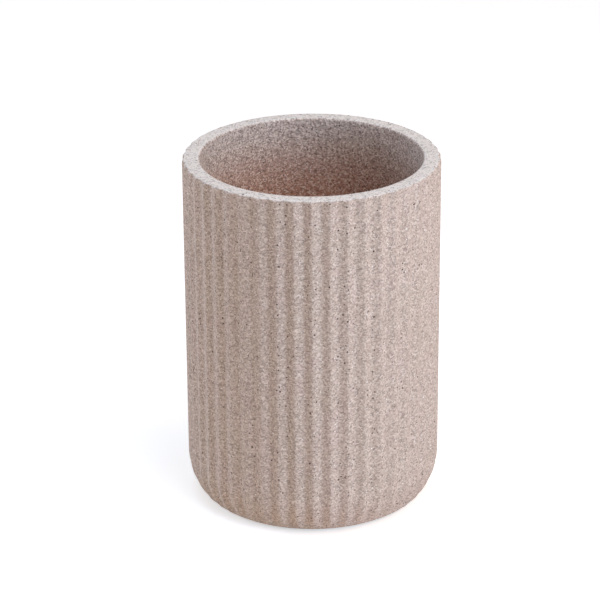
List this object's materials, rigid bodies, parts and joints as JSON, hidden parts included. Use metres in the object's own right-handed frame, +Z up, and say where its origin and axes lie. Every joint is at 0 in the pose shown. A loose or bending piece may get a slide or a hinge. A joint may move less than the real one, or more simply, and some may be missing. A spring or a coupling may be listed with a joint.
{
  "type": "bathroom tumbler",
  "caption": "Round thick-walled bathroom tumbler with upright flutes that wrap under its rounded lower corner, a smooth bore and a foam pad under its base, for toothbrushes or rinsing water.",
  "frame": {"origin": "on the cup's axis, at the underside of the foam pad, where the tumbler stands", "axes": "+Z up the axis towards the open mouth; the cup is round, and one crest between two flutes faces -Y, the front"},
  "size_m": [0.0748, 0.075, 0.1056],
  "materials": {
    "cast_stone_resin": "matt, fine sandy grain with dark and light flecks",
    "adhesive_film": "satin, slightly cloudy",
    "pad_foam": "matt closed-cell foam"
  },
  "bodies": {
    "root": {"cup_body": "cast_stone_resin", "pad_adhesive": "adhesive_film", "base_pad": "pad_foam"}
  },
  "joints": []
}
